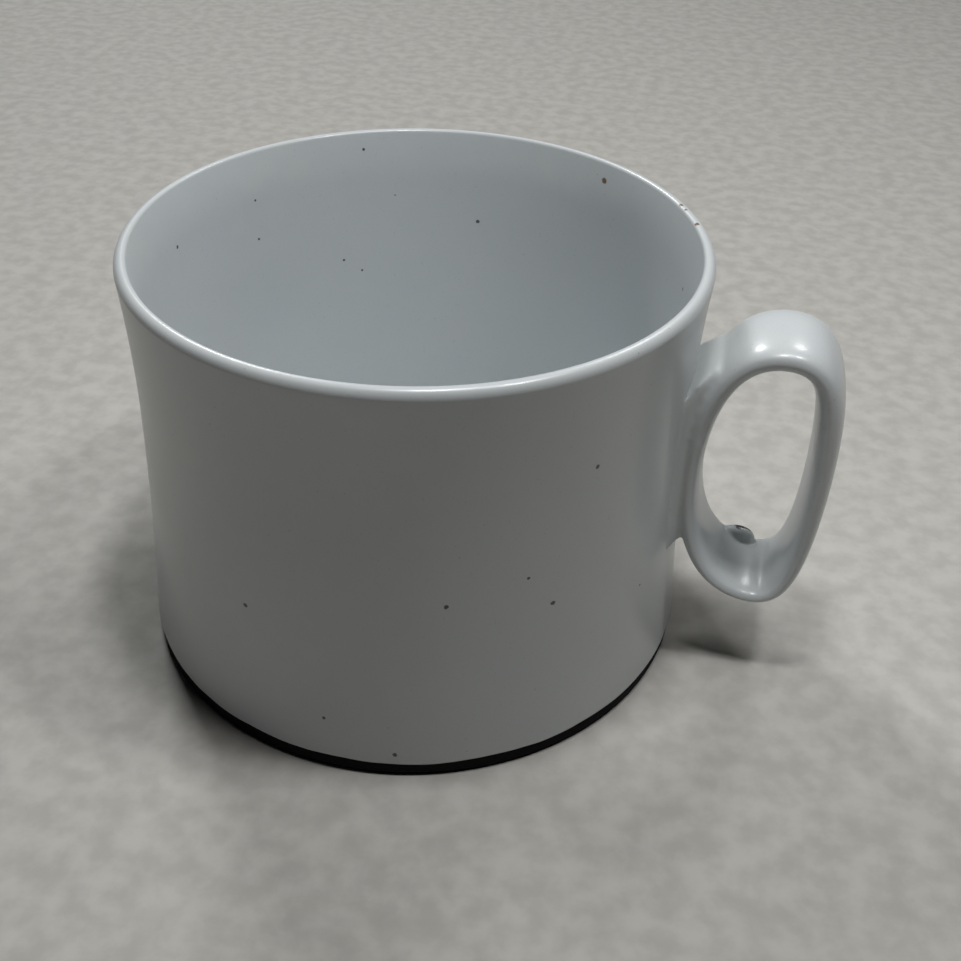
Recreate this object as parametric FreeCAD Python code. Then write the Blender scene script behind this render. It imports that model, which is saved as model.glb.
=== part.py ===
"""Stoneware shaving mug: thrown clay body, luted oval ring handle and their glaze coats.

Millimetres, +Z up. The origin is the centre of the foot's underside, on the mug's axis, and +X
points towards the handle.
"""

import FreeCAD
import Part
import math
import os

from FreeCAD import Vector

# ---- driving dimensions ------------------------------------------------------------------------
# Body: a cylinder drawn in a little at the waist, flared at the rim and at the base.
mug_height = 78.0
rim_diameter = 104.0
waist_draw_in = 1.6
waist_height = 47.0
base_draw_in = 0.4
clay_wall = 2.4
clay_floor = 4.6
inner_corner_radius = 8.0

# Glaze: one even coat, which stops above the foot.
glaze = 0.4
glaze_line_height = 2.7

# Foot: bare clay ring round a shallow hollow.
foot_width = 6.0
foot_hollow = 2.0
foot_bevel = 0.6

# Handle: a closed oval ring of flat strap, its section's middle line given by half sizes.
ring_half_width = 11.3
ring_half_height = 26.6
ring_flat_outside = 1.3
ring_blunt_ends = 1.5
ring_skew = 0.8
ring_lean_deg = 2.7
ring_height = 41.4
ring_depth = 18.0
ring_thickness_top = 5.4
ring_thickness_bottom = 3.6
ring_edge_share = 0.9
ring_press_in = 0.8

# Luting: the clay that fills between wall and ring, with concave flanks and a trimmed top.
# Its flanks pass the hollow share of their reach at the hollow share of their narrowing.
luting_below_middle = 16.4
luting_above_middle = 21.6
luting_reach = 5.2
luting_overhang = 1.8
luting_draw_in = 0.6
luting_hollow_share = 0.3
luting_top_slope_deg = 48.0
luting_bottom_slope_deg = 40.0

outline_points = 28

# ---- values worked out from them ---------------------------------------------------------------
wall = clay_wall + 2 * glaze
waist_radius = rim_diameter / 2 - waist_draw_in
base_radius = rim_diameter / 2 - base_draw_in
floor_height = foot_hollow + clay_floor + glaze


def tangent_arc(rise, swell, half_wall):
    """Radius of the outer face of a wall that leaves the waist upright and swells over a rise.

    half_wall moves the arc that is solved for from the outer face to where the rise is measured.
    """
    return (rise * rise + swell * swell) / (2 * swell) - half_wall


lip_rise = mug_height - wall / 2 - waist_height
upper_radius = tangent_arc(lip_rise, waist_draw_in, wall / 2)
upper_centre = Vector(waist_radius + upper_radius, 0, waist_height)
lip_angle = math.asin(lip_rise / (upper_radius + wall / 2))

base_drop = waist_height - glaze_line_height
lower_radius = tangent_arc(base_drop, base_radius - waist_radius, 0)
lower_centre = Vector(waist_radius + lower_radius, 0, waist_height)
lip_direction = Vector(-math.cos(lip_angle), 0, math.sin(lip_angle))
lip_centre = upper_centre + lip_direction * (upper_radius + wall / 2)
crest_angle = math.pi / 2 - lip_angle


# ---- drawing helpers ---------------------------------------------------------------------------
def polar(centre, radius, angle):
    """Point of the XZ plane at an angle above +X, seen from a centre."""
    return centre + Vector(math.cos(angle), 0, math.sin(angle)) * radius


def arc(centre, radius, start, end):
    """Arc of the XZ plane between two angles."""
    points = [polar(centre, radius, angle) for angle in (start, (start + end) / 2, end)]
    return Part.Arc(*points).toShape()


def line(start, end):
    """Straight edge between two points."""
    return Part.LineSegment(start, end).toShape()


def revolved(edges):
    """Solid of revolution of a closed outline about the mug's axis."""
    wire = Part.Wire(Part.__sortEdges__(edges))
    return Part.Face(wire).revolve(Vector(0, 0, 0), Vector(0, 0, 1), 360)


def angle_at_height(centre, radius, height):
    """Angle at which a wall arc, left of its centre, passes a height."""
    return math.pi - math.asin((height - centre.z) / radius)


def crest_joint():
    """Face across the glaze at the lip's crest, where the outer coat meets the liner."""
    return line(polar(lip_centre, wall / 2 - glaze, crest_angle), polar(lip_centre, wall / 2, crest_angle))


def outer_side(skin, low_angle):
    """Outside of the body, set in by skin: lower arc, upper arc and the lip up to its crest."""
    lower = arc(lower_centre, lower_radius + skin, low_angle, math.pi)
    upper = arc(upper_centre, upper_radius + skin, math.pi, math.pi - lip_angle)
    lip = arc(lip_centre, wall / 2 - skin, -lip_angle, crest_angle)
    return [lower, upper, lip]


def corner_centre():
    """Centre of the rounding between the inside wall and the floor."""
    reach = lower_radius + wall + inner_corner_radius
    height = floor_height + inner_corner_radius
    return Vector(lower_centre.x - math.sqrt(reach**2 - (height - waist_height) ** 2), 0, height)


def inner_side(skin):
    """Inside of the body, set back by skin: lip from its crest, two wall arcs, corner and floor."""
    corner = corner_centre()
    tangent = math.atan2(corner.z - lower_centre.z, corner.x - lower_centre.x) % (2 * math.pi)
    lip = arc(lip_centre, wall / 2 - skin, crest_angle, math.pi - lip_angle)
    upper = arc(upper_centre, upper_radius + wall - skin, math.pi - lip_angle, math.pi)
    lower = arc(lower_centre, lower_radius + wall - skin, math.pi, tangent)
    rounding = arc(corner, inner_corner_radius + skin, tangent - math.pi, -math.pi / 2)
    floor_edge = Vector(corner.x, 0, floor_height - skin)
    floor = line(floor_edge, Vector(0, 0, floor_height - skin))
    return [lip, upper, lower, rounding, floor]


# ---- body --------------------------------------------------------------------------------------
def make_clay_body():
    """Wall, floor and foot, thrown as one piece."""
    radius = lower_radius + glaze
    bevel_angle = angle_at_height(lower_centre, radius, foot_bevel)
    outside = outer_side(glaze, bevel_angle)
    inside = inner_side(glaze)
    foot_outer = polar(lower_centre, radius, bevel_angle)
    foot_rim = Vector(foot_outer.x - foot_bevel, 0, 0)
    foot_inner = Vector(foot_outer.x - foot_width, 0, 0)
    bevel_end = foot_inner + Vector(-foot_bevel, 0, foot_bevel)
    hollow_edge = Vector(bevel_end.x, 0, foot_hollow)
    hollow_centre = Vector(0, 0, foot_hollow)
    floor_centre = Vector(0, 0, floor_height - glaze)
    underside = [
        line(foot_outer, foot_rim),
        line(foot_rim, foot_inner),
        line(foot_inner, bevel_end),
        line(bevel_end, hollow_edge),
        line(hollow_edge, hollow_centre),
        line(hollow_centre, floor_centre),
    ]
    return revolved(outside + inside + underside)


def make_outer_coat():
    """Glaze on the outside, whole round, from its rounded lower edge to the lip's crest."""
    clay_low = angle_at_height(lower_centre, lower_radius + glaze, glaze_line_height)
    coat_low = angle_at_height(lower_centre, lower_radius, glaze_line_height + glaze)
    back = outer_side(glaze, clay_low)
    face = outer_side(0, coat_low)
    edge_in = polar(lower_centre, lower_radius + glaze, clay_low)
    edge_out = polar(lower_centre, lower_radius, coat_low)
    half_turn = math.pi / 4
    roll_out = Vector(glaze * math.cos(half_turn), 0, glaze * (1 - math.sin(half_turn)))
    lower_edge = Part.Arc(edge_in, edge_in + roll_out, edge_out).toShape()
    return revolved(back + face + [lower_edge, crest_joint()])


def make_liner_glaze():
    """Glaze inside, from the lip's crest down the wall and over the floor."""
    centre = line(Vector(0, 0, floor_height - glaze), Vector(0, 0, floor_height))
    return revolved(inner_side(glaze) + inner_side(0) + [crest_joint(), centre])


# ---- handle ------------------------------------------------------------------------------------
def ring_outline(side, skin):
    """Closed outline of the ring: side 1 is outside, -1 is round the hole, 0 is mid-strap."""
    lean = math.radians(ring_lean_deg)
    mean_thickness = (ring_thickness_top + ring_thickness_bottom) / 2
    taper = (ring_thickness_top - ring_thickness_bottom) / 2
    wall_side = ring_half_width + ring_flat_outside + mean_thickness / 2
    centre = Vector(waist_radius - ring_press_in + wall_side, 0, ring_height)
    points = []
    for step in range(outline_points):
        turn = 2 * math.pi * step / outline_points
        across = ring_half_width * math.cos(turn) - ring_flat_outside * math.cos(2 * turn)
        up = ring_half_height * math.sin(turn) + ring_blunt_ends * math.sin(3 * turn)
        up -= ring_skew * math.cos(turn)
        slope_across = -ring_half_width * math.sin(turn) + 2 * ring_flat_outside * math.sin(2 * turn)
        slope_up = ring_half_height * math.cos(turn) + 3 * ring_blunt_ends * math.cos(3 * turn)
        slope_up += ring_skew * math.sin(turn)
        length = math.hypot(slope_across, slope_up)
        offset = side * ((mean_thickness + taper * up / ring_half_height) / 2 - skin)
        across += offset * slope_up / length
        up -= offset * slope_across / length
        leaned_across = across * math.cos(lean) + up * math.sin(lean)
        leaned_up = up * math.cos(lean) - across * math.sin(lean)
        points.append(centre + Vector(leaned_across, 0, leaned_up))
    return points


def oval_block(side, skin):
    """Solid of the ring's depth inside one of its outlines."""
    curve = Part.BSplineCurve()
    curve.interpolate(Points=ring_outline(side, skin), PeriodicFlag=True)
    half = ring_depth / 2 - skin
    face = Part.Face(Part.Wire(curve.toShape()))
    face.translate(Vector(0, -half, 0))
    return face.extrude(Vector(0, 2 * half, 0))


def make_ring(skin):
    """The oval ring with rounded edges, set in by skin on every face."""
    ring = oval_block(1, skin).cut(oval_block(-1, skin))
    radius = ring_edge_share * ring_thickness_bottom / 2 - skin
    side_face = ring_depth / 2 - skin
    closed = [edge for edge in ring.Edges if edge.isClosed()]
    rims = [edge for edge in closed if abs(edge.CenterOfMass.y) > side_face / 2]
    return ring.makeFillet(radius, rims)


def luting_plan(inside, root, tip, wide, narrow):
    """Plan of the luting: wide at the wall, hollowing in towards the ring on both flanks."""
    edges = [
        line(Vector(inside, -wide, 0), Vector(inside, wide, 0)),
        line(Vector(tip, -narrow, 0), Vector(tip, narrow, 0)),
    ]
    middle_x = root + luting_hollow_share * (tip - root)
    middle_y = narrow + luting_hollow_share * (wide - narrow)
    for sign in (-1, 1):
        foot = Vector(root, sign * wide, 0)
        middle = Vector(middle_x, sign * middle_y, 0)
        edges.append(line(Vector(inside, sign * wide, 0), foot))
        edges.append(Part.Arc(foot, middle, Vector(tip, sign * narrow, 0)).toShape())
    return Part.Face(Part.Wire(Part.__sortEdges__(edges)))


def make_luting(skin):
    """Clay between wall and ring: concave flanks, trimmed slanting at its top and bottom.

    Its flanks spring from the round wall itself, and it ends mid-strap, inside the ring, so that
    none of it shows in the finger hole.
    """
    wide = ring_depth / 2 + luting_overhang - skin
    narrow = ring_depth / 2 - luting_draw_in - skin
    root = math.sqrt((waist_radius - skin) ** 2 - wide**2)
    tip = root + luting_reach
    inside = root - clay_wall / 4
    low = ring_height - luting_below_middle + skin
    high = ring_height + luting_above_middle - skin
    plan = luting_plan(inside, root, tip, wide, narrow)
    plan.translate(Vector(0, 0, low))
    block = plan.extrude(Vector(0, 0, high - low))
    top_fall = luting_reach * math.tan(math.radians(luting_top_slope_deg))
    bottom_rise = luting_reach * math.tan(math.radians(luting_bottom_slope_deg))
    corners = [
        (inside, low),
        (root, low),
        (tip, low + bottom_rise),
        (tip, high),
        (root, high - top_fall),
        (inside, high - top_fall),
    ]
    outline = Part.makePolygon([Vector(x, -2 * wide, z) for x, z in corners + corners[:1]])
    side_view = Part.Face(outline).extrude(Vector(0, 4 * wide, 0))
    return block.common(side_view).cut(oval_block(0, -luting_overhang))


# ---- assembly ----------------------------------------------------------------------------------
def single(shape, name):
    """The one solid of a shape, out of the compound that a cut leaves round it.

    A cut that leaves more than one solid has split the piece, so it stops the build.
    """
    if len(shape.Solids) != 1:
        volumes = [round(solid.Volume, 3) for solid in shape.Solids]
        raise ValueError("%s: one solid expected, volumes found %s" % (name, volumes))
    return shape.Solids[0]


def make_parts():
    """Every node's solid by name."""
    clay_body = make_clay_body()
    outer_coat = make_outer_coat()
    liner_glaze = make_liner_glaze()

    glazed_ring = make_ring(0)
    glazed_luting = make_luting(0)
    bare_ring = make_ring(glaze)
    bare_luting = make_luting(glaze)

    handle_ring = single(bare_ring.cut(clay_body), "handle_ring")
    handle_luting = single(bare_luting.cut([clay_body, bare_ring]), "handle_luting")
    glazed_handle = glazed_ring.fuse(glazed_luting)
    handle_glaze = single(glazed_handle.cut([bare_ring, bare_luting, clay_body]), "handle_glaze")
    outer_glaze = single(outer_coat.cut(glazed_handle), "outer_glaze")
    return {
        "clay_body": clay_body,
        "handle_ring": handle_ring,
        "handle_luting": handle_luting,
        "outer_glaze": outer_glaze,
        "liner_glaze": liner_glaze,
        "handle_glaze": handle_glaze,
    }


os.makedirs("parts", exist_ok=True)
for name, shape in make_parts().items():
    shape.exportStep("parts/" + name + ".step")
    print(name, "solids", len(shape.Solids), "valid", shape.isValid(), "mm3", round(shape.Volume, 1))
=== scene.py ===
"""Looks of a wide stoneware mug with a luted ring handle, built round its CAD frame.

Metres, +Z up, with the mug's axis at the origin and its handle towards +X.
"""

import logging
import math
from dataclasses import dataclass, field
from enum import Enum

import bpy
from mathutils import Matrix, Vector


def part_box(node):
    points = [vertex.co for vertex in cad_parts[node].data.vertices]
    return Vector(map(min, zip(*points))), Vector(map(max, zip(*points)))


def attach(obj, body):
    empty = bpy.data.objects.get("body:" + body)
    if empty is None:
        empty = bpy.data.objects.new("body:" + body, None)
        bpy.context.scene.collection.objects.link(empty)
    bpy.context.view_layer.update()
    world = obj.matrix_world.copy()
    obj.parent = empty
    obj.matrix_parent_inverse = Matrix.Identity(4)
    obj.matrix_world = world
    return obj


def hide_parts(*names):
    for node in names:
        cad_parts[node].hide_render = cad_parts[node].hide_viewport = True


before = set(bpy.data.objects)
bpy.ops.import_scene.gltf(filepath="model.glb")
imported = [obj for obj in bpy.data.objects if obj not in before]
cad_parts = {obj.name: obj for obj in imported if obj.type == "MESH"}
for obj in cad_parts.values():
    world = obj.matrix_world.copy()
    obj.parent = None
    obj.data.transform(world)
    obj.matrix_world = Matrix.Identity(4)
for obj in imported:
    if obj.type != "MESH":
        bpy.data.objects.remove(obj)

LOG = logging.getLogger("mug")
MM = 0.001
Point = tuple[float, float, float]
Colour = tuple[float, float, float, float]
Sockets = dict[str, bpy.types.NodeSocket]
MERGE_GAP = 0.002 * MM
SHARP_EDGE_DEG = 32.0
BROAD_MOTTLE = 22 * MM
CLOSE_MOTTLE = 5 * MM
GLAZE_GRAIN = 0.35 * MM
GLAZE_PEEL = 1.6 * MM
SPOT_RAGGEDNESS = 0.5 * MM
WAVE_PITCH = 0.314  # distance between the rings of a wave texture of scale 1
LIP_STEPS = 22
CORNER_STEPS = 14
FLANK_STEPS = 8


class Coat(Enum):
    """The glaze coats, by the record's material slot."""

    OUTSIDE = "outer_glaze"
    INSIDE = "liner_glaze"
    HANDLE = "handle_glaze"


class Clay(Enum):
    """The bare clays, by the record's material slot."""

    BODY = "bare_clay"
    RING = "handle_clay"
    LUTING = "luting_clay"


# ---- modelling by hand ---------------------------------------------------------------------------
def clear_selection() -> None:
    """Leaves edit mode and deselects every object."""
    if bpy.context.object and bpy.context.object.mode != "OBJECT":
        bpy.ops.object.mode_set(mode="OBJECT")
    bpy.ops.object.select_all(action="DESELECT")


def pick_up(piece: bpy.types.Object) -> None:
    """Makes one piece the only selected and active one.

    Args:
        piece: the piece to work on.
    """
    clear_selection()
    piece.select_set(True)
    bpy.context.view_layer.objects.active = piece


def draw_outline(name: str, points: list[Point], closed: bool) -> bpy.types.Object:
    """Draws a line of edges through points, from one vertex drawn out step by step.

    Args:
        name: name of the new piece.
        points: the outline's points, in order.
        closed: whether the last point joins back to the first.

    Returns:
        The new piece, left in edit mode with all of it selected.
    """
    clear_selection()
    bpy.ops.mesh.primitive_plane_add(size=MM, location=(0.0, 0.0, 0.0))
    piece = bpy.context.object
    piece.name = name
    piece.data.name = name
    bpy.ops.object.mode_set(mode="EDIT")
    bpy.ops.mesh.select_mode(type="VERT")
    bpy.ops.mesh.select_all(action="SELECT")
    bpy.ops.mesh.merge(type="CENTER")
    extend_outline(points, closed)
    return piece


def extend_outline(points: list[Point], closed: bool) -> None:
    """Moves the selected vertex from the origin to the first point and draws it on through the rest.

    Args:
        points: the outline's points, in order.
        closed: whether the last point joins back to the first.
    """
    stops = [Vector(point) for point in points]
    if closed:
        stops.append(stops[0].copy())
    bpy.ops.transform.translate(value=stops[0])
    for here, there in zip(stops, stops[1:]):
        bpy.ops.mesh.extrude_vertices_move(TRANSFORM_OT_translate={"value": there - here})
    bpy.ops.mesh.select_all(action="SELECT")
    bpy.ops.mesh.remove_doubles(threshold=1e-7)


def face_outwards() -> None:
    """Merges what meets, then turns every face of the piece in edit mode outwards."""
    bpy.ops.mesh.select_all(action="SELECT")
    bpy.ops.mesh.remove_doubles(threshold=MERGE_GAP)
    bpy.ops.mesh.normals_make_consistent(inside=False)


def throw_on_wheel(name: str, points: list[Point], closed: bool, steps: int) -> bpy.types.Object:
    """Turns an outline once round the mug's axis.

    Args:
        name: name of the new piece.
        points: outline in the XZ plane; an open one begins and ends on the axis.
        closed: whether the outline closes on itself, clear of the axis.
        steps: divisions round the axis.

    Returns:
        The new piece, in object mode.
    """
    piece = draw_outline(name, points, closed)
    bpy.ops.mesh.spin(steps=steps, angle=2 * math.pi, center=(0.0, 0.0, 0.0), axis=(0.0, 0.0, 1.0))
    face_outwards()
    bpy.ops.object.mode_set(mode="OBJECT")
    return piece


def apply_modifier(piece: bpy.types.Object, kind: str, **settings: object) -> None:
    """Adds a modifier to a piece and applies it.

    Args:
        piece: the piece to change.
        kind: the modifier's type.
        **settings: its properties.
    """
    pick_up(piece)
    modifier = piece.modifiers.new(kind.lower(), kind)
    for key, value in settings.items():
        setattr(modifier, key, value)
    bpy.ops.object.modifier_apply(modifier=modifier.name)


def smooth_shading(piece: bpy.types.Object, degrees: float) -> None:
    """Shades a piece smooth, apart from edges sharper than an angle.

    Args:
        piece: the piece to shade.
        degrees: angle past which an edge stays sharp.
    """
    pick_up(piece)
    bpy.ops.object.shade_smooth_by_angle(angle=math.radians(degrees))


def put_on(piece: bpy.types.Object, material: bpy.types.Material) -> None:
    """Gives a piece one material."""
    piece.data.materials.clear()
    piece.data.materials.append(material)


# ---- wiring of materials -------------------------------------------------------------------------
class Wiring:
    """Adds nodes to one tree and joins them."""

    def __init__(self, tree: bpy.types.NodeTree) -> None:
        """Keeps the tree that the nodes go into."""
        self.tree = tree

    def add(self, kind: str, **settings: object) -> bpy.types.Node:
        """Adds a node.

        Args:
            kind: the node's type without its ShaderNode prefix.
            **settings: its properties.

        Returns:
            The new node.
        """
        node = self.tree.nodes.new("ShaderNode" + kind)
        for key, value in settings.items():
            setattr(node, key, value)
        return node

    def feed(self, socket: bpy.types.NodeSocket, value: object) -> None:
        """Links a socket to another one, or sets its value.

        Args:
            socket: the input to feed.
            value: an output to link it to, or a plain value.
        """
        if isinstance(value, bpy.types.NodeSocket):
            self.tree.links.new(value, socket)
        else:
            socket.default_value = value

    def maths(self, operation: str, *values: object) -> bpy.types.NodeSocket:
        """Works out one number.

        Args:
            operation: the Math node's operation.
            *values: its sockets or numbers, in order.

        Returns:
            The result's socket.
        """
        node = self.add("Math", operation=operation)
        for socket, value in zip(node.inputs, values):
            self.feed(socket, value)
        return node.outputs[0]

    def fade(self, value: object, start: object, end: object) -> bpy.types.NodeSocket:
        """Runs smoothly from 0 to 1 while a value goes from start to end.

        Args:
            value: the value to follow.
            start: where the result is 0.
            end: where the result is 1.

        Returns:
            The result's socket.
        """
        node = self.add("MapRange", interpolation_type="SMOOTHSTEP")
        self.feed(node.inputs["Value"], value)
        self.feed(node.inputs["From Min"], start)
        self.feed(node.inputs["From Max"], end)
        return node.outputs["Result"]

    def blend(self, share: object, first: object, second: object) -> bpy.types.NodeSocket:
        """Mixes two colours.

        Args:
            share: share of the second colour.
            first: the first colour.
            second: the second colour.

        Returns:
            The mixed colour's socket.
        """
        node = self.add("Mix", data_type="RGBA")
        self.feed(node.inputs[0], share)
        self.feed(node.inputs[6], first)
        self.feed(node.inputs[7], second)
        return node.outputs[2]

    def noise(self, place: object, size: float, detail: float) -> bpy.types.NodeSocket:
        """Makes a cloudy number between 0 and 1.

        Args:
            place: coordinates to read.
            size: rough size of its blotches, in metres.
            detail: finer octaves to add.

        Returns:
            The number's socket.
        """
        node = self.add("TexNoise")
        self.feed(node.inputs["Vector"], place)
        node.inputs["Scale"].default_value = 1 / size
        node.inputs["Detail"].default_value = detail
        return node.outputs[0]

    def group(self, tree: bpy.types.NodeTree, **values: object) -> bpy.types.Node:
        """Places a node group.

        Args:
            tree: the group.
            **values: its inputs by name.

        Returns:
            The group's node.
        """
        node = self.add("Group")
        node.node_tree = tree
        for key, value in values.items():
            self.feed(node.inputs[key], value)
        return node


def new_group(name: str, inputs: dict[str, str], outputs: dict[str, str]) -> tuple[Wiring, Sockets, Sockets]:
    """Starts a node group.

    Args:
        name: the group's name.
        inputs: socket kinds of its inputs by name.
        outputs: socket kinds of its outputs by name.

    Returns:
        Its wiring, its inputs and its outputs by name.
    """
    tree = bpy.data.node_groups.new(name, "ShaderNodeTree")
    for side, kinds in (("INPUT", inputs), ("OUTPUT", outputs)):
        for label, kind in kinds.items():
            tree.interface.new_socket(name=label, in_out=side, socket_type="NodeSocket" + kind)
    entry = tree.nodes.new("NodeGroupInput")
    leave = tree.nodes.new("NodeGroupOutput")
    return (
        Wiring(tree),
        {label: entry.outputs[label] for label in inputs},
        {label: leave.inputs[label] for label in outputs},
    )


def speck_group() -> bpy.types.NodeTree:
    """Scatters iron specks through a glaze, each of its own size.

    Returns:
        The node group.
    """
    wiring, given, out = new_group(
        "iron_specks",
        {"Place": "Vector", "Spacing": "Float", "Size": "Float", "Share": "Float"},
        {"Mask": "Float"},
    )
    cells = wiring.add("TexVoronoi")
    wiring.feed(cells.inputs["Vector"], given["Place"])
    wiring.feed(cells.inputs["Scale"], wiring.maths("DIVIDE", 1.0, given["Spacing"]))
    chance = wiring.add("SeparateColor")
    wiring.feed(chance.inputs[0], cells.outputs["Color"])
    reach = wiring.maths("MULTIPLY", cells.outputs["Distance"], given["Spacing"])
    radius = wiring.maths("MULTIPLY", given["Size"], wiring.maths("ADD", chance.outputs[1], 0.3))
    inside = wiring.fade(reach, radius, wiring.maths("MULTIPLY", radius, 0.45))
    chosen = wiring.maths("LESS_THAN", chance.outputs[0], given["Share"])
    wiring.feed(out["Mask"], wiring.maths("MULTIPLY", inside, chosen))
    return wiring.tree


def spot_group() -> bpy.types.NodeTree:
    """Makes one spot at a place on the piece, with a ragged edge.

    Returns:
        The node group.
    """
    wiring, given, out = new_group(
        "spot",
        {"Place": "Vector", "Centre": "Vector", "Radius": "Float"},
        {"Mask": "Float"},
    )
    apart = wiring.add("VectorMath", operation="DISTANCE")
    wiring.feed(apart.inputs[0], given["Place"])
    wiring.feed(apart.inputs[1], given["Centre"])
    ragged = wiring.noise(given["Place"], SPOT_RAGGEDNESS, 2.0)
    ragged = wiring.maths("MULTIPLY_ADD", ragged, 0.9, 0.55)
    edge = wiring.maths("MULTIPLY", given["Radius"], ragged)
    core = wiring.maths("MULTIPLY", edge, 0.6)
    wiring.feed(out["Mask"], wiring.fade(apart.outputs["Value"], edge, core))
    return wiring.tree


def glaze_group() -> bpy.types.NodeTree:
    """Makes the mottled tone of a glaze and the soft relief of its surface.

    Returns:
        The node group.
    """
    wiring, given, out = new_group(
        "glaze_surface",
        {"Place": "Vector"},
        {"Mottle": "Float", "Grain": "Float", "Relief": "Float"},
    )
    broad = wiring.noise(given["Place"], BROAD_MOTTLE, 2.0)
    close = wiring.noise(given["Place"], CLOSE_MOTTLE, 3.0)
    grain = wiring.noise(given["Place"], GLAZE_GRAIN, 2.0)
    broad = wiring.maths("MULTIPLY", broad, 0.6)
    wiring.feed(out["Mottle"], wiring.maths("MULTIPLY_ADD", close, 0.4, broad))
    wiring.feed(out["Grain"], grain)
    peel = wiring.noise(given["Place"], GLAZE_PEEL, 1.0)
    wiring.feed(out["Relief"], wiring.maths("MULTIPLY_ADD", grain, 0.12, peel))
    return wiring.tree


@dataclass(frozen=True)
class Spot:
    """A dark iron spot, a brown break in the glaze, or a patch of painted shadow."""

    centre: Point
    radius: float
    colour: Colour = (0.03, 0.022, 0.018, 1.0)


@dataclass(frozen=True)
class Specks:
    """One size of iron speck in a glaze."""

    spacing: float
    size: float
    share: float
    strength: float


BREAK_BROWN: Colour = (0.16, 0.075, 0.03, 1.0)
# Near-black used as painted shadow on the lump at the far bottom edge of the handle's hole.
PAINTED_SHADOW_DARK: Colour = (0.02, 0.018, 0.018, 1.0)


@dataclass(frozen=True)
class GlazeFinish:
    """Semi-gloss cool grey-white stoneware glaze with iron specks."""

    cool: Colour = (0.59, 0.63, 0.65, 1.0)
    warm: Colour = (0.625, 0.65, 0.65, 1.0)
    speck: Colour = (0.09, 0.075, 0.06, 1.0)
    roughness: float = 0.31
    coat: float = 0.16
    coat_roughness: float = 0.11
    fine: Specks = Specks(2.1 * MM, 0.16 * MM, 0.34, 0.42)
    coarse: Specks = Specks(7 * MM, 0.24 * MM, 0.16, 1.0)
    speck_strength: float = 0.8
    grain_strength: float = 0.22
    spot_strength: float = 0.92
    relief_strength: float = 0.16
    relief_depth: float = 0.05 * MM

    def scatter(
        self, specks: Specks, place: object, wiring: Wiring, tools: "Toolbox"
    ) -> bpy.types.NodeSocket:
        """Scatters one size of speck.

        Args:
            specks: the specks' size and number.
            place: coordinates to read.
            wiring: the material's wiring.
            tools: the shared node groups.

        Returns:
            The specks' mask.
        """
        made = wiring.group(
            tools.specks, Place=place, Spacing=specks.spacing, Size=specks.size, Share=specks.share
        )
        return wiring.maths("MULTIPLY", made.outputs["Mask"], specks.strength)

    def make(self, name: str, spots: list[Spot], tools: "Toolbox") -> bpy.types.Material:
        """Builds the finish for one coat.

        Args:
            name: the material's name.
            spots: the spots that this coat shows.
            tools: the shared node groups.

        Returns:
            The material.
        """
        material = bpy.data.materials.new(name)
        material.use_nodes = True
        wiring = Wiring(material.node_tree)
        shader = material.node_tree.nodes["Principled BSDF"]
        place = wiring.add("TexCoord").outputs["Object"]
        surface = wiring.group(tools.glaze, Place=place)
        mottle = wiring.fade(surface.outputs["Mottle"], 0.2, 0.8)
        colour = wiring.blend(mottle, self.cool, self.warm)
        grain = wiring.fade(surface.outputs["Grain"], 0.62, 0.8)
        colour = wiring.blend(wiring.maths("MULTIPLY", grain, self.grain_strength), colour, self.speck)
        fine = self.scatter(self.fine, place, wiring, tools)
        dots = wiring.maths("MAXIMUM", fine, self.scatter(self.coarse, place, wiring, tools))
        colour = wiring.blend(wiring.maths("MULTIPLY", dots, self.speck_strength), colour, self.speck)
        for spot in spots:
            mark = wiring.group(tools.spot, Place=place, Centre=spot.centre, Radius=spot.radius)
            share = wiring.maths("MULTIPLY", mark.outputs["Mask"], self.spot_strength)
            colour = wiring.blend(share, colour, spot.colour)
        wiring.feed(shader.inputs["Base Color"], colour)
        shine = wiring.maths("MULTIPLY_ADD", surface.outputs["Mottle"], 0.03, self.roughness - 0.015)
        wiring.feed(shader.inputs["Roughness"], wiring.maths("MULTIPLY_ADD", dots, 0.2, shine))
        shader.inputs["IOR"].default_value = 1.5
        shader.inputs["Coat Weight"].default_value = self.coat
        shader.inputs["Coat Roughness"].default_value = self.coat_roughness
        relief = wiring.maths("MULTIPLY_ADD", dots, -0.5, surface.outputs["Relief"])
        bump = wiring.add("Bump")
        bump.inputs["Strength"].default_value = self.relief_strength
        bump.inputs["Distance"].default_value = self.relief_depth
        wiring.feed(bump.inputs["Height"], relief)
        wiring.feed(shader.inputs["Normal"], bump.outputs["Normal"])
        return material


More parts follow.
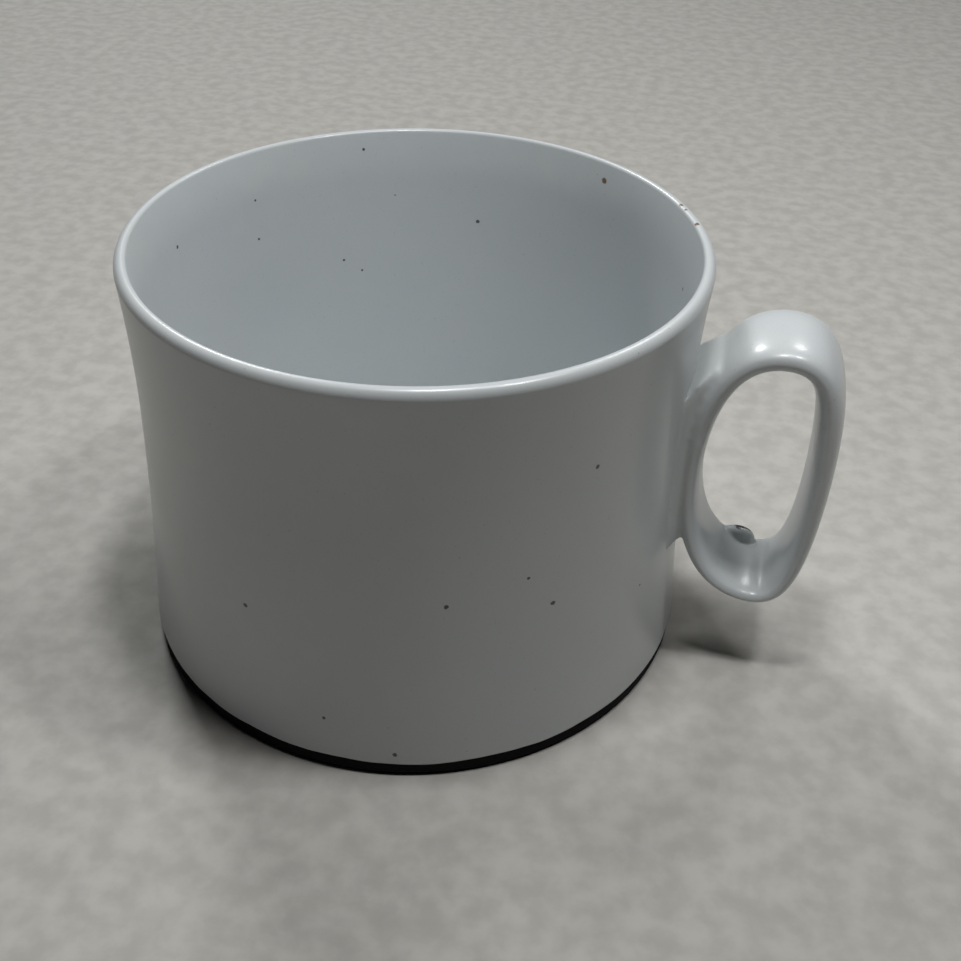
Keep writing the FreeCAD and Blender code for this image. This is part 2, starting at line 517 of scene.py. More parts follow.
@dataclass(frozen=True)
class ShadedBareClayFinish:
    """Dark stoneware clay, gritty and matt, with turning marks; its tone is pushed down to near-black as
    painted shade for the shadowed band at the foot.
    """

    # Painted shade: both tones sit near black, darker than the brownish clay itself, so the bare band under
    # the glaze line reads as the shade there.
    dark: Colour = (0.005, 0.005, 0.006, 1.0)
    light: Colour = (0.013, 0.012, 0.012, 1.0)
    roughness: float = 0.82
    groove_pitch: float = 1.1 * MM
    grit_size: float = 0.5 * MM
    cloud_size: float = 9 * MM
    specular: float = 0.15
    relief_strength: float = 0.6
    relief_depth: float = 0.12 * MM

    def make(self, name: str) -> bpy.types.Material:
        """Builds the finish.

        Args:
            name: the material's name.

        Returns:
            The material.
        """
        material = bpy.data.materials.new(name)
        material.use_nodes = True
        wiring = Wiring(material.node_tree)
        shader = material.node_tree.nodes["Principled BSDF"]
        place = wiring.add("TexCoord").outputs["Object"]
        grit = wiring.noise(place, self.grit_size, 4.0)
        cloud = wiring.noise(place, self.cloud_size, 2.0)
        shade = wiring.maths("MULTIPLY_ADD", cloud, 0.5, wiring.maths("MULTIPLY", grit, 0.5))
        colour = wiring.blend(wiring.fade(shade, 0.35, 0.7), self.dark, self.light)
        wiring.feed(shader.inputs["Base Color"], colour)
        dullness = wiring.maths("MULTIPLY_ADD", grit, 0.15, self.roughness - 0.07)
        wiring.feed(shader.inputs["Roughness"], dullness)
        rings = wiring.add("TexWave", wave_type="RINGS", rings_direction="Z")
        wiring.feed(rings.inputs["Vector"], place)
        rings.inputs["Scale"].default_value = WAVE_PITCH / self.groove_pitch
        rings.inputs["Distortion"].default_value = 0.6
        shader.inputs["Specular IOR Level"].default_value = self.specular
        height = wiring.maths("MULTIPLY_ADD", rings.outputs["Fac"], 0.5, grit)
        bump = wiring.add("Bump")
        bump.inputs["Strength"].default_value = self.relief_strength
        bump.inputs["Distance"].default_value = self.relief_depth
        wiring.feed(bump.inputs["Height"], height)
        wiring.feed(shader.inputs["Normal"], bump.outputs["Normal"])
        return material


@dataclass(frozen=True)
class FloorFinish:
    """Plain pale matt floor with a barely visible cloudiness."""

    low: Colour = (0.44, 0.427, 0.396, 1.0)
    high: Colour = (0.53, 0.515, 0.480, 1.0)
    cloud_size: float = 5 * MM
    roughness: float = 0.75

    def make(self) -> bpy.types.Material:
        """Builds the finish.

        Returns:
            The material.
        """
        material = bpy.data.materials.new("floor")
        material.use_nodes = True
        wiring = Wiring(material.node_tree)
        shader = material.node_tree.nodes["Principled BSDF"]
        place = wiring.add("TexCoord").outputs["Object"]
        cloud = wiring.fade(wiring.noise(place, self.cloud_size, 8.0), 0.3, 0.7)
        wiring.feed(shader.inputs["Base Color"], wiring.blend(cloud, self.low, self.high))
        shader.inputs["Roughness"].default_value = self.roughness
        return material


@dataclass
class Toolbox:
    """The node groups that several finishes share."""

    specks: bpy.types.NodeTree = field(default_factory=speck_group)
    spot: bpy.types.NodeTree = field(default_factory=spot_group)
    glaze: bpy.types.NodeTree = field(default_factory=glaze_group)


# ---- the mug's shape -----------------------------------------------------------------------------
@dataclass(frozen=True)
class WallShape:
    """Section of the thrown wall: two arcs upright at the waist, and a lip that slopes inside."""

    rim_radius: float
    height: float
    glaze_line: float
    waist_draw_in: float = 1.6 * MM
    waist_height: float = 47.0 * MM
    base_draw_in: float = 0.4 * MM
    wall: float = 3.2 * MM
    glaze: float = 0.4 * MM
    floor_height: float = 7.0 * MM
    corner_radius: float = 8.0 * MM
    lip_round: float = 0.7 * MM
    slope_tilt_deg: float = 11.0

    @property
    def waist_radius(self) -> float:
        """Outer radius at the waist."""
        return self.rim_radius - self.waist_draw_in

    @property
    def lip_rise(self) -> float:
        """Height of the lip's centre above the waist."""
        return self.height - self.wall / 2 - self.waist_height

    @property
    def upper_swell(self) -> float:
        """Radius of the outer arc above the waist."""
        rise, swell = self.lip_rise, self.waist_draw_in
        return (rise * rise + swell * swell) / (2 * swell) - self.wall / 2

    @property
    def lower_swell(self) -> float:
        """Radius of the outer arc below the waist.

        Returns:
            The radius.
        """
        drop = self.waist_height - self.glaze_line
        swell = self.waist_draw_in - self.base_draw_in
        return (drop * drop + swell * swell) / (2 * swell)

    @property
    def lip_angle(self) -> float:
        """Angle by which the wall leans out where it meets the lip."""
        return math.asin(self.lip_rise / (self.upper_swell + self.wall / 2))

    @property
    def crest_height(self) -> float:
        """Height of the lip's crest, where the two coats meet."""
        reach = self.upper_swell + self.wall / 2
        return self.waist_height + reach * math.sin(self.lip_angle) + self.wall / 2

    @property
    def slope_length(self) -> float:
        """Length of the lip's inner slope, from its small round down to the even wall."""
        tilt = math.radians(self.slope_tilt_deg)
        return 2 * (self.wall / 2 - self.lip_round * math.cos(tilt)) / math.tan(tilt)

    def inner_depth(self, height: float) -> float:
        """Distance of the inner face in from the outside at a height.

        Args:
            height: height above the table.

        Returns:
            The distance, which grows down the lip's inner slope to the full wall.
        """
        tilt = math.radians(self.slope_tilt_deg)
        drop = self.crest_height - self.lip_round * (1 - math.sin(tilt)) - height
        share = min(1.0, max(0.0, drop / self.slope_length))
        return self.wall - self.slope_length * math.tan(tilt) / 2 * (1 - share) ** 2

    def slope_points(self, skin: float) -> list[Point]:
        """Points from the lip's crest round its small round and down its inner slope.

        Args:
            skin: distance back from the face.

        Returns:
            The points, from the crest down.
        """
        tilt = math.radians(self.slope_tilt_deg)
        trail = []
        round_turns = ((math.pi / 2 - tilt) * step / CORNER_STEPS for step in range(1, CORNER_STEPS + 1))
        for turn in (0.0, 0.01, *round_turns):
            across, fall = math.sin(turn), math.cos(turn)
            trail.append((self.lip_round * across, self.lip_round * (1 - fall), across, fall))
        for step in range(1, LIP_STEPS + 1):
            share = step / LIP_STEPS
            lean = math.atan(math.tan(tilt) * (1 - share))
            across = self.lip_round * math.cos(tilt)
            across += self.slope_length * math.tan(tilt) * (share - share * share / 2)
            drop = self.lip_round * (1 - math.sin(tilt)) + self.slope_length * share
            trail.append((across, drop, math.cos(lean), math.sin(lean)))
        points = []
        for across, drop, inwards, upwards in trail:
            height = self.crest_height - drop - skin * upwards
            depth = self.wall / 2 + across - skin * inwards
            points.append((self.radius_at(height, depth), 0.0, height))
        return points

    def radius_at(self, height: float, depth: float = 0.0) -> float:
        """Radius of the surface at a depth in from the outer face.

        Args:
            height: height above the table.
            depth: distance in from the outer face.

        Returns:
            The radius.
        """
        swell = self.upper_swell if height > self.waist_height else self.lower_swell
        drop = height - self.waist_height
        return self.waist_radius + swell - math.sqrt((swell + depth) ** 2 - drop**2)

    def lip_points(self, skin: float, start: float, end: float, steps: int) -> list[Point]:
        """Points of the lip's outer round between two angles.

        Args:
            skin: distance in from the face.
            start: angle to begin at, from level and outwards.
            end: angle to end at.
            steps: divisions between them.

        Returns:
            The points, in order.
        """
        lean = self.lip_angle
        reach = self.upper_swell + self.wall / 2
        middle_x = self.waist_radius + self.upper_swell - reach * math.cos(lean)
        middle_z = self.waist_height + reach * math.sin(lean)
        radius = self.wall / 2 - skin
        turns = [start + (end - start) * step / steps for step in range(steps + 1)]
        return [
            (middle_x + radius * math.cos(turn), 0.0, middle_z + radius * math.sin(turn)) for turn in turns
        ]

    def wall_points(self, depth: float, low: float, high: float, steps: int) -> list[Point]:
        """Points up a wall face.

        Args:
            depth: distance of the face in from the outside.
            low: height of the lowest point.
            high: height of the highest point.
            steps: divisions between them.

        Returns:
            The points, from the lowest up.
        """
        heights = [low + (high - low) * step / steps for step in range(steps + 1)]
        return [(self.radius_at(height, depth), 0.0, height) for height in heights]

    def outer_side(self, skin: float, low: float, steps: int) -> list[Point]:
        """Points up the outside and on to the lip's crest.

        Args:
            skin: distance in from the face.
            low: height of the lowest point.
            steps: divisions up the wall.

        Returns:
            The points, from the lowest up.
        """
        lean = self.lip_angle
        top = self.waist_height + (self.upper_swell + skin) * math.sin(lean)
        crest = math.pi / 2 - lean
        lip = self.lip_points(skin, -lean, crest, LIP_STEPS)
        close = self.lip_points(skin, crest - 0.006, crest, 1)[:1]
        return self.wall_points(skin, low, top, steps)[:-1] + lip[:-1] + close + lip[-1:]

    def inner_side(self, skin: float, steps: int) -> list[Point]:
        """Points from the lip's crest down the inside to the floor's middle.

        Args:
            skin: distance back from the face.
            steps: divisions down the wall.

        Returns:
            The points, from the crest down.
        """
        lip = self.slope_points(skin)
        depth = self.wall - skin
        top = lip[-1][2]
        centre_x = self.waist_radius + self.lower_swell
        corner_z = self.floor_height + self.corner_radius
        reach = self.lower_swell + self.wall + self.corner_radius
        corner_x = centre_x - math.sqrt(reach**2 - (corner_z - self.waist_height) ** 2)
        tangent = math.atan2(corner_z - self.waist_height, corner_x - centre_x) % (2 * math.pi)
        foot = self.waist_height + (self.lower_swell + depth) * math.sin(tangent)
        wall = self.wall_points(depth, foot, top, steps)[::-1]
        radius = self.corner_radius + skin
        corner = []
        for step in range(1, CORNER_STEPS + 1):
            turn = tangent - math.pi + (math.pi / 2 - tangent) * step / CORNER_STEPS
            corner.append((corner_x + radius * math.cos(turn), 0.0, corner_z + radius * math.sin(turn)))
        level = self.floor_height - skin
        floor = [(corner_x * share, 0.0, level) for share in (0.8, 0.6, 0.4, 0.2, 0.0)]
        return lip + wall[1:] + corner + floor


@dataclass
class ThrownBody:
    """The thrown clay with its trimmed foot, and the two glaze coats on it."""

    shape: WallShape
    tools: Toolbox
    foot_width: float = 6.0 * MM
    foot_hollow: float = 2.0 * MM
    foot_bevel: float = 0.6 * MM
    steps_round: int = 288
    line_wander: float = 0.9 * MM
    wander_height: float = 5 * MM
    wander_length: float = 14 * MM
    pooling: float = 0.12 * MM
    pooling_height: float = 1.6 * MM
    outside_spots: tuple[Point, ...] = (
        (-117.2, 77.5, 0.35), (-108.8, 30.0, 0.5), (-69.5, 36.7, 0.5), (-54.1, 39.9, 0.35),
        (-48.7, 33.1, 0.55), (-40.9, 57.9, 0.5), (-92.5, 11.1, 0.4), (-78.9, 4.9, 0.5), (-24.4, 25.5, 0.3),
    )
    inside_spots: tuple[Point, ...] = (
        (148.3, 68.3, 0.3), (148.4, 59.9, 0.35), (176.0, 67.3, 0.45), (89.8, 59.0, 0.5),
        (111.2, 64.2, 0.2), (118.7, 74.4, 0.35), (125.0, 50.3, 0.35), (120.2, 47.3, 0.35), (15.2, 67.1, 0.45),
    )
    inside_break: Point = (56.2, 74.4, 0.75)
    rim_breaks: tuple[tuple[float, float], ...] = ((30.0, 0.55), (27.5, 0.4), (20.4, 0.6))

    def surface_spot(self, turn: float, height: float, size: float, inside: bool) -> Spot:
        """Places a spot on a wall face.

        Args:
            turn: degrees round from the handle.
            height: height in millimetres.
            size: radius in millimetres.
            inside: whether the spot is on the inner face.

        Returns:
            The spot.
        """
        depth = self.shape.inner_depth(height * MM) if inside else 0.0
        radius = self.shape.radius_at(height * MM, depth)
        angle = math.radians(turn)
        return Spot((radius * math.cos(angle), radius * math.sin(angle), height * MM), size * MM)

    def rim_break(self, turn: float, size: float) -> Spot:
        """Places a brown break on the lip's crest.

        Args:
            turn: degrees round from the handle.
            size: radius in millimetres.

        Returns:
            The break.
        """
        radius = self.shape.rim_radius - self.shape.wall / 2
        angle = math.radians(turn)
        centre = (radius * math.cos(angle), radius * math.sin(angle), self.shape.height)
        return Spot(centre, size * MM, BREAK_BROWN)

    def build_clay(self) -> bpy.types.Object:
        """Throws the clay body.

        Returns:
            The piece.
        """
        shape = self.shape
        glaze = shape.glaze
        outer = shape.radius_at(self.foot_bevel, glaze)
        inner = outer - self.foot_width
        underside = [
            (0.0, 0.0, self.foot_hollow),
            (0.5 * inner, 0.0, self.foot_hollow),
            (inner - self.foot_bevel, 0.0, self.foot_hollow),
            (inner - self.foot_bevel, 0.0, self.foot_bevel),
            (inner, 0.0, 0.0),
            (outer - self.foot_bevel, 0.0, 0.0),
        ]
        outline = underside + shape.outer_side(glaze, self.foot_bevel, 24) + shape.inner_side(glaze, 24)[1:]
        piece = throw_on_wheel("clay_wall_and_foot", outline, False, self.steps_round)
        smooth_shading(piece, SHARP_EDGE_DEG)
        return piece

    def build_outside(self) -> bpy.types.Object:
        """Lays the outer coat, with its wandering, slightly pooled lower edge.

        Returns:
            The piece.
        """
        shape = self.shape
        glaze = shape.glaze
        line = shape.glaze_line
        back = shape.outer_side(glaze, line, 18)
        face = shape.outer_side(0.0, line + glaze, 46)
        pooled = []
        for radius, _, height in face:
            rise = (height - line - glaze) / self.pooling_height
            swell = self.pooling * math.sin(math.pi * rise) if 0.0 < rise < 1.0 else 0.0
            pooled.append((radius + swell, 0.0, height))
        roll = []
        for step in range(1, 6):
            turn = math.pi / 2 * step / 6
            radius = shape.radius_at(line, glaze) + glaze * math.sin(turn)
            roll.append((radius, 0.0, line + glaze * (1 - math.cos(turn))))
        outline = back[::-1] + roll + pooled
        piece = throw_on_wheel("glaze_outside", outline, True, self.steps_round)
        group = piece.vertex_groups.new(name="lower_edge")
        for vertex in piece.data.vertices:
            rise = (vertex.co.z - line) / self.wander_height
            if rise < 1.0:
                group.add([vertex.index], min(1.0, (1.0 - rise) ** 2), "REPLACE")
        wander = bpy.data.textures.new("glaze_line_wander", "CLOUDS")
        wander.noise_scale = self.wander_length
        apply_modifier(
            piece, "DISPLACE", texture=wander, texture_coords="LOCAL", direction="Z",
            vertex_group="lower_edge", strength=self.line_wander, mid_level=0.5,
        )
        smooth_shading(piece, SHARP_EDGE_DEG)
        return piece

    def build_inside(self) -> bpy.types.Object:
        """Lays the liner coat.

        Returns:
            The piece.
        """
        back = self.shape.inner_side(self.shape.glaze, 18)
        face = self.shape.inner_side(0.0, 46)
        piece = throw_on_wheel("glaze_inside", back[::-1] + face, False, self.steps_round)
        smooth_shading(piece, SHARP_EDGE_DEG)
        return piece

    def dress(self, clay: bpy.types.Object, outside: bpy.types.Object, inside: bpy.types.Object) -> None:
        """Gives the three pieces their finishes and ties them to their nodes.

        Args:
            clay: the clay body.
            outside: the outer coat.
            inside: the liner coat.
        """
        breaks = [self.rim_break(*place) for place in self.rim_breaks]
        outer = [self.surface_spot(*spot, False) for spot in self.outside_spots]
        inner = [self.surface_spot(*spot, True) for spot in self.inside_spots]
        back = self.surface_spot(*self.inside_break, True)
        inner.append(Spot(back.centre, back.radius, BREAK_BROWN))
        finish = GlazeFinish()
        # The bare foot band gets the clay finish with its painted shade.
        put_on(clay, ShadedBareClayFinish().make("bare_clay_finish"))
        put_on(outside, finish.make("outer_glaze_finish", outer + breaks, self.tools))
        put_on(inside, finish.make("liner_glaze_finish", inner + breaks, self.tools))
        for piece, node, slot in (
            (clay, "clay_body", Clay.BODY.value),
            (outside, "outer_glaze", Coat.OUTSIDE.value),
            (inside, "liner_glaze", Coat.INSIDE.value),
        ):
            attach(piece, "root")
            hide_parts(node)


@dataclass
class RingHandle:
    """The glazed oval ring, luted to the wall."""

    wall_shape: WallShape
    tools: Toolbox
    half_width: float = 11.3 * MM
    half_height: float = 26.6 * MM
    flat_outside: float = 1.3 * MM
    blunt_ends: float = 1.5 * MM
    skew: float = 0.8 * MM
    lean_deg: float = 2.7
    middle_height: float = 41.4 * MM
    depth: float = 18.0 * MM
    thickness_top: float = 5.4 * MM
    thickness_bottom: float = 3.6 * MM
    crown: float = 2.6
    slices: int = 26
    press_in: float = 0.8 * MM
    stations: int = 112
    luting_below: float = 16.4 * MM
    luting_above: float = 21.6 * MM
    luting_reach: float = 5.2 * MM
    luting_overhang: float = 2.0 * MM
    luting_draw_in: float = 1.9 * MM
    top_slope_deg: float = 48.0
    bottom_slope_deg: float = 40.0
    voxel: float = 0.36 * MM
    thinnest: float = 0.12
    smooth_passes: int = 9
    joint_passes: int = 44
    joint_full: float = 4.4 * MM
    joint_end: float = 7.4 * MM
    joint_drop: float = 14 * MM
    seat_half_turn_deg: float = 19.0
    seat_low: float = 13.0 * MM
    seat_high: float = 69.0 * MM
    seat_depth: float = 0.05 * MM
    seat_back: float = 1.8 * MM
    lump_stretch: Point = (3.5, 1.9, 2.2)
    lump_place: Point = (62.2 * MM, 6.9 * MM, 18.3 * MM)
    spots: tuple[Spot, ...] = (
        Spot((52.6 * MM, -8.0 * MM, 60.2 * MM), 0.45 * MM, BREAK_BROWN),
        Spot((53.2 * MM, -7.6 * MM, 67.0 * MM), 0.4 * MM, BREAK_BROWN),
        Spot((63.2 * MM, -9.0 * MM, 18.5 * MM), 0.35 * MM),
        # Painted shadow: the next two near-black patches sit on the lump at the hole's far bottom edge, where
        # shade falls.
        Spot((62.6 * MM, 7.3 * MM, 20.5 * MM), 1.3 * MM, PAINTED_SHADOW_DARK),
        Spot((64.2 * MM, 7.8 * MM, 20.0 * MM), 1.1 * MM, PAINTED_SHADOW_DARK),
    )

    def outline(self, side: int) -> list[Point]:
        """Closed outline of the ring at its near face.

        Args:
            side: 1 for its outside, -1 for the hole, 0 for mid-strap.

        Returns:
            The outline's points.
        """
        lean = math.radians(self.lean_deg)
        mean = (self.thickness_top + self.thickness_bottom) / 2
        taper = (self.thickness_top - self.thickness_bottom) / 2
        reach = self.half_width + self.flat_outside + mean / 2
        middle_x = self.wall_shape.waist_radius - self.press_in + reach
        points = []
        for step in range(self.stations):
            turn = 2 * math.pi * step / self.stations
            across = self.half_width * math.cos(turn) - self.flat_outside * math.cos(2 * turn)
            up = self.half_height * math.sin(turn) + self.blunt_ends * math.sin(3 * turn)
            up -= self.skew * math.cos(turn)
            slope_x = -self.half_width * math.sin(turn) + 2 * self.flat_outside * math.sin(2 * turn)
            slope_z = self.half_height * math.cos(turn) + 3 * self.blunt_ends * math.cos(3 * turn)
            slope_z += self.skew * math.sin(turn)
            length = math.hypot(slope_x, slope_z)
            offset = side * (mean + taper * up / self.half_height) / 2
            across += offset * slope_z / length
            up -= offset * slope_x / length
            x = middle_x + across * math.cos(lean) + up * math.sin(lean)
            z = self.middle_height + up * math.cos(lean) - across * math.sin(lean)
            points.append((x, -self.depth / 2, z))
        return points

    def build_ring(self) -> bpy.types.Object:
        """Forms the ring as a strap crowned across its depth.

        Returns:
            The piece.
        """
        piece = draw_outline("ring", self.outline(1), True)
        hole = draw_outline("hole", self.outline(-1), True)
        pick_up(piece)
        hole.select_set(True)
        bpy.ops.object.join()
        bpy.ops.object.mode_set(mode="EDIT")
        bpy.ops.mesh.select_all(action="SELECT")
        bpy.ops.mesh.bridge_edge_loops()
        bpy.ops.mesh.select_all(action="SELECT")
        cuts = [-math.cos(math.pi * cut / self.slices) * self.depth / 2 for cut in range(self.slices + 1)]
        for here, there in zip(cuts, cuts[1:]):
            bpy.ops.mesh.extrude_region_move(TRANSFORM_OT_translate={"value": (0.0, there - here, 0.0)})
        face_outwards()
        bpy.ops.object.mode_set(mode="OBJECT")
        self.crown_strap(piece)
        return piece

    def crown_strap(self, piece: bpy.types.Object) -> None:
        """Thins the strap towards both of its edges, so that its section is a soft oval.

        Args:
            piece: the ring, still of even thickness across its depth.
        """
        middle = [Vector((x, 0.0, z)) for x, _, z in self.outline(0)]
        for vertex in piece.data.vertices:
            flat = Vector((vertex.co.x, 0.0, vertex.co.z))
            near = min(middle, key=lambda point: (point - flat).length_squared)
            share = min(1.0, abs(vertex.co.y) / (self.depth / 2))
            thin = max(self.thinnest, (1.0 - share**self.crown) ** (1 / self.crown))
            vertex.co.x = near.x + (flat.x - near.x) * thin
            vertex.co.z = near.z + (flat.z - near.z) * thin

    def build_luting(self) -> bpy.types.Object:
        """Presses the luting between wall and ring and trims it slanting.

        Returns:
            The piece.
        """
        wide = self.depth / 2 + self.luting_overhang
        narrow = self.depth / 2 - self.luting_draw_in
        root = math.sqrt(self.wall_shape.waist_radius**2 - wide**2)
        inside = root - self.wall_shape.wall / 2
        tip = root + self.luting_reach
        low = self.middle_height - self.luting_below
        high = self.middle_height + self.luting_above
        flank = []
        for step in range(FLANK_STEPS + 1):
            share = step / FLANK_STEPS
            flank.append((root + share * (tip - root), narrow + (wide - narrow) * (1 - share) ** 2))
        right = [(x, -y, low) for x, y in flank]
        left = [(x, y, low) for x, y in reversed(flank)]
        outline = [(inside, -wide, low)] + right + left + [(inside, wide, low)]
        piece = draw_outline("luting", outline, True)
        bpy.ops.mesh.edge_face_add()
        bpy.ops.mesh.extrude_region_move(TRANSFORM_OT_translate={"value": (0.0, 0.0, high - low)})
        face_outwards()
        top, bottom = math.radians(self.top_slope_deg), math.radians(self.bottom_slope_deg)
        for place, outward in (
            ((tip, 0.0, high), (-math.sin(top), 0.0, math.cos(top))),
            ((root, 0.0, low), (math.sin(bottom), 0.0, -math.cos(bottom))),
        ):
            bpy.ops.mesh.select_all(action="SELECT")
            bpy.ops.mesh.bisect(plane_co=place, plane_no=outward, use_fill=True, clear_outer=True)
        face_outwards()
        bpy.ops.object.mode_set(mode="OBJECT")
        spare = self.luting_overhang + MM
        near = [(x, y - spare, z) for x, y, z in self.outline(0)]
        core = draw_outline("mid_strap", near, True)
        bpy.ops.mesh.edge_face_add()
        bpy.ops.mesh.extrude_region_move(TRANSFORM_OT_translate={"value": (0.0, self.depth + 2 * spare, 0.0)})
        face_outwards()
        bpy.ops.object.mode_set(mode="OBJECT")
        apply_modifier(piece, "BOOLEAN", object=core, operation="DIFFERENCE", solver="EXACT")
        bpy.data.objects.remove(core)
        return piece

    def soften_joint(self, piece: bpy.types.Object) -> None:
        """Runs the luting softly into ring and wall, as wet slip does.

        Args:
            piece: the joined handle.
        """
        group = piece.vertex_groups.new(name="joint")
        near = self.wall_shape.waist_radius + self.joint_full
        far = self.wall_shape.waist_radius + self.joint_end
        low = self.middle_height + self.luting_above - self.joint_drop
        for vertex in piece.data.vertices:
            reach = math.hypot(vertex.co.x, vertex.co.y)
            share = min(1.0, max(0.0, (far - reach) / (far - near)))
            if share > 0.0 and vertex.co.z > low:
                group.add([vertex.index], share, "REPLACE")
        apply_modifier(piece, "SMOOTH", factor=0.5, iterations=self.joint_passes, vertex_group="joint")

    def build_seat(self) -> bpy.types.Object:
        """Forms a patch of wall just under the outer face, clockwise of the handle seen from above.

        Returns:
            The piece, which stays hidden inside the wall and does not reach under the luting.
        """
        shape = self.wall_shape
        half_turn = math.radians(self.seat_half_turn_deg)
        outer = shape.wall_points(self.seat_depth, self.seat_low, self.seat_high, 20)
        inner = shape.wall_points(self.seat_back, self.seat_low, self.seat_high, 20)[::-1]
        start = [(r * math.cos(half_turn), -r * math.sin(half_turn), z) for r, _, z in outer + inner]
        piece = draw_outline("seat", start, True)
        bpy.ops.mesh.spin(steps=26, angle=2 * half_turn, center=(0.0, 0.0, 0.0), axis=(0.0, 0.0, 1.0))
        bpy.ops.mesh.select_all(action="SELECT")
        bpy.ops.mesh.fill_holes(sides=0)
        face_outwards()
        bpy.ops.object.mode_set(mode="OBJECT")
        return piece

    def build_lump(self) -> bpy.types.Object:
        """Makes the small lump on the far edge of the hole's bottom.

        Returns:
            The piece.
        """
        clear_selection()
        bpy.ops.mesh.primitive_uv_sphere_add(segments=24, ring_count=12, radius=MM, location=(0.0, 0.0, 0.0))
        piece = bpy.context.object
        piece.name = "lump"
        bpy.ops.object.mode_set(mode="EDIT")
        bpy.ops.mesh.select_all(action="SELECT")
        bpy.ops.transform.resize(value=self.lump_stretch)
        bpy.ops.transform.translate(value=self.lump_place)
        bpy.ops.object.mode_set(mode="OBJECT")
        return piece

    def build(self) -> bpy.types.Object:
        """Joins ring, luting, seat and lump into one piece under one glaze.

        Returns:
            The piece.
        """
        ring = self.build_ring()
        others = [self.build_luting(), self.build_seat(), self.build_lump()]
        pick_up(ring)
        for other in others:
            other.select_set(True)
        bpy.ops.object.join()
        ring.name = "glazed_handle"
        ring.data.name = "glazed_handle"
        apply_modifier(ring, "REMESH", mode="VOXEL", voxel_size=self.voxel, adaptivity=0.0)
        apply_modifier(ring, "SMOOTH", factor=0.5, iterations=self.smooth_passes)
        self.soften_joint(ring)
        pick_up(ring)
        bpy.ops.object.shade_smooth()
        return ring

    def dress(self, piece: bpy.types.Object) -> None:
        """Gives the handle its glaze, and the clay inside it its own finishes.

        Args:
            piece: the glazed handle.
        """
        put_on(piece, GlazeFinish().make("handle_glaze_finish", list(self.spots), self.tools))
        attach(piece, "root")
        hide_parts("handle_glaze", "handle_ring", "handle_luting")
        for node, clay in (("handle_ring", Clay.RING), ("handle_luting", Clay.LUTING)):
            put_on(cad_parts[node], ShadedBareClayFinish().make(clay.value + "_finish"))


# ---- studio --------------------------------------------------------------------------------------
@dataclass(frozen=True)
class SoftLight:
    """A soft square lamp aimed at a point."""

    name: str
    place: Point
    aim: Point
    size: float
    power: float
    colour: tuple[float, float, float] = (1.0, 1.0, 1.0)

    def hang(self) -> None:
        """Adds the lamp to the scene."""
        lamp = bpy.data.lights.new(self.name, "AREA")
        lamp.shape = "SQUARE"
        lamp.size = self.size
        lamp.energy = self.power
        lamp.color = self.colour
        holder = bpy.data.objects.new(self.name, lamp)
        holder.location = self.place
        holder.rotation_mode = "QUATERNION"
        holder.rotation_quaternion = (Vector(self.aim) - Vector(self.place)).to_track_quat("-Z", "Y")
        bpy.context.scene.collection.objects.link(holder)


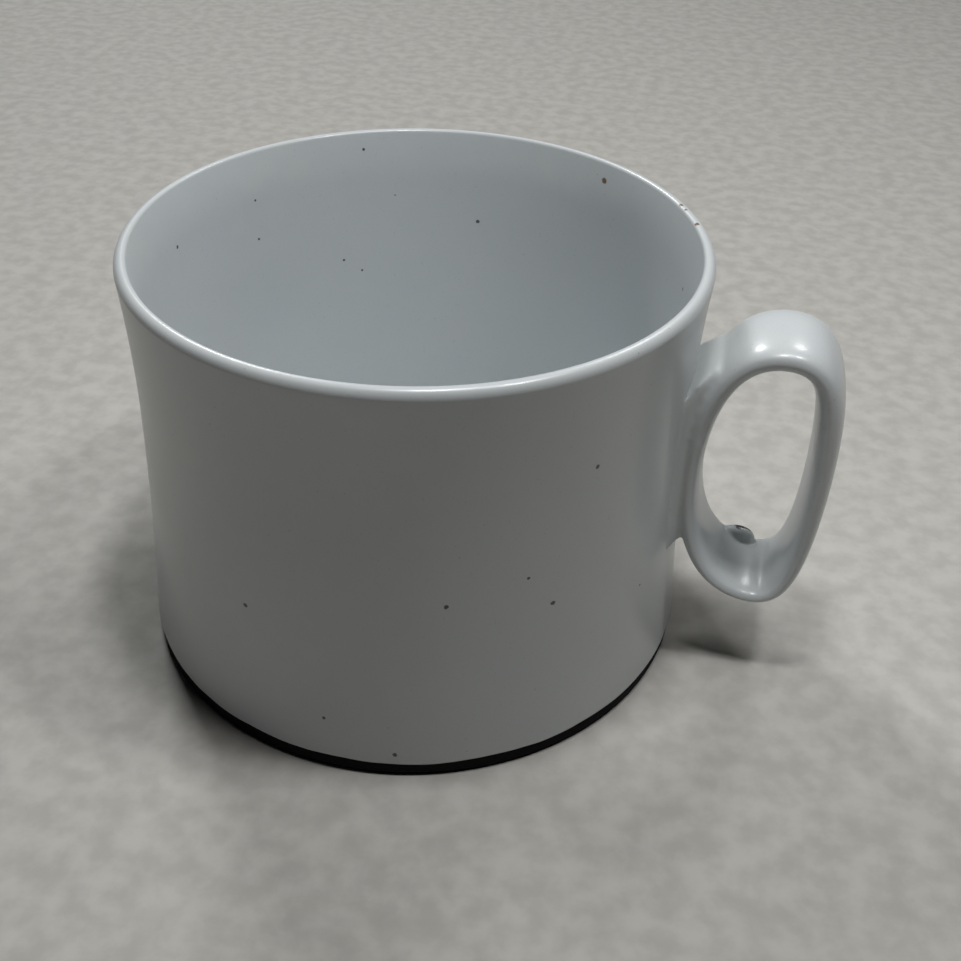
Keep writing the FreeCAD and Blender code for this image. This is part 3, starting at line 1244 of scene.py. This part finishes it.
@dataclass
class Studio:
    """Plain pale floor, soft light from above and behind, and the camera."""

    camera_place: Point = (0.05497, -0.19968, 0.17677)
    heading_deg: float = -12.21
    pitch_deg: float = 30.15
    roll_deg: float = 1.64
    lens: float = 48.85
    shift_up: float = -0.146
    floor_size: float = 4.0
    ambient: float = 0.005
    sky: Colour = (0.86, 0.92, 1.0, 1.0)
    lights: tuple[SoftLight, ...] = (
        SoftLight("above_mug", (0.03, -0.05, 0.45), (0.02, 0.0, 0.03), 0.04, 0.53),
        SoftLight("above_handle", (0.18, -0.02, 0.50), (0.02, 0.0, 0.03), 0.05, 0.61),
        SoftLight("overhead", (0.09, 0.02, 0.95), (0.02, 0.0, 0.03), 0.12, 0.74),
        SoftLight("back_right", (0.28, 0.60, 0.80), (0.02, 0.0, 0.03), 0.20, 1.65),
        SoftLight("back_left", (-0.45, 0.60, 0.75), (0.02, 0.0, 0.03), 0.20, 3.7, (0.97, 0.99, 1.0)),
    )

    def lay_floor(self) -> bpy.types.Object:
        """Lays the floor.

        Returns:
            The floor.
        """
        clear_selection()
        bpy.ops.mesh.primitive_plane_add(size=self.floor_size, location=(0.0, 0.0, 0.0))
        floor = bpy.context.object
        floor.name = "floor"
        put_on(floor, FloorFinish().make())
        return floor

    def light(self) -> None:
        """Hangs the lamps and sets the even light around."""
        for lamp in self.lights:
            lamp.hang()
        world = bpy.data.worlds.new("studio")
        world.use_nodes = True
        back = world.node_tree.nodes["Background"]
        back.inputs["Color"].default_value = self.sky
        back.inputs["Strength"].default_value = self.ambient
        bpy.context.scene.world = world
        bpy.context.scene.view_settings.view_transform = "Standard"

    def place_camera(self) -> None:
        """Sets up the camera by its heading, pitch and roll."""
        heading, pitch, roll = (math.radians(a) for a in (self.heading_deg, self.pitch_deg, self.roll_deg))
        ahead = Vector(
            (math.sin(heading) * math.cos(pitch), math.cos(heading) * math.cos(pitch), -math.sin(pitch))
        )
        level = Vector((math.cos(heading), -math.sin(heading), 0.0))
        above = level.cross(ahead)
        right = level * math.cos(roll) + above * math.sin(roll)
        up = above * math.cos(roll) - level * math.sin(roll)
        data = bpy.data.cameras.new("camera")
        data.sensor_width = 36.0
        data.lens = self.lens
        data.shift_y = self.shift_up
        data.clip_start = 0.01
        camera = bpy.data.objects.new("camera", data)
        turn = Matrix((right, up, -ahead)).transposed()
        camera.matrix_world = Matrix.Translation(self.camera_place) @ turn.to_4x4()
        bpy.context.scene.collection.objects.link(camera)
        bpy.context.scene.camera = camera


def main() -> None:
    """Builds and dresses every sub-assembly in order, then the studio."""
    logging.basicConfig(level=logging.INFO, format="%(name)s: %(message)s")
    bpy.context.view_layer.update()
    tools = Toolbox()
    coat_low, coat_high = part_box("outer_glaze")
    clearance = 0.03 * MM  # keeps the visible pieces inside the CAD box
    shape = WallShape(
        rim_radius=min(coat_high[0], coat_high[1], -coat_low[0], -coat_low[1]) - clearance,
        height=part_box("liner_glaze")[1][2] - clearance,
        glaze_line=coat_low[2],
    )
    body = ThrownBody(shape, tools)
    clay, outside, inside = body.build_clay(), body.build_outside(), body.build_inside()
    body.dress(clay, outside, inside)
    handle_maker = RingHandle(shape, tools)
    handle = handle_maker.build()
    handle_maker.dress(handle)
    for piece in (clay, outside, inside, handle):
        LOG.info("%s: %d faces", piece.name, len(piece.data.polygons))
    studio = Studio()
    studio.lay_floor()
    studio.light()
    studio.place_camera()


if __name__ == "__main__":
    main()
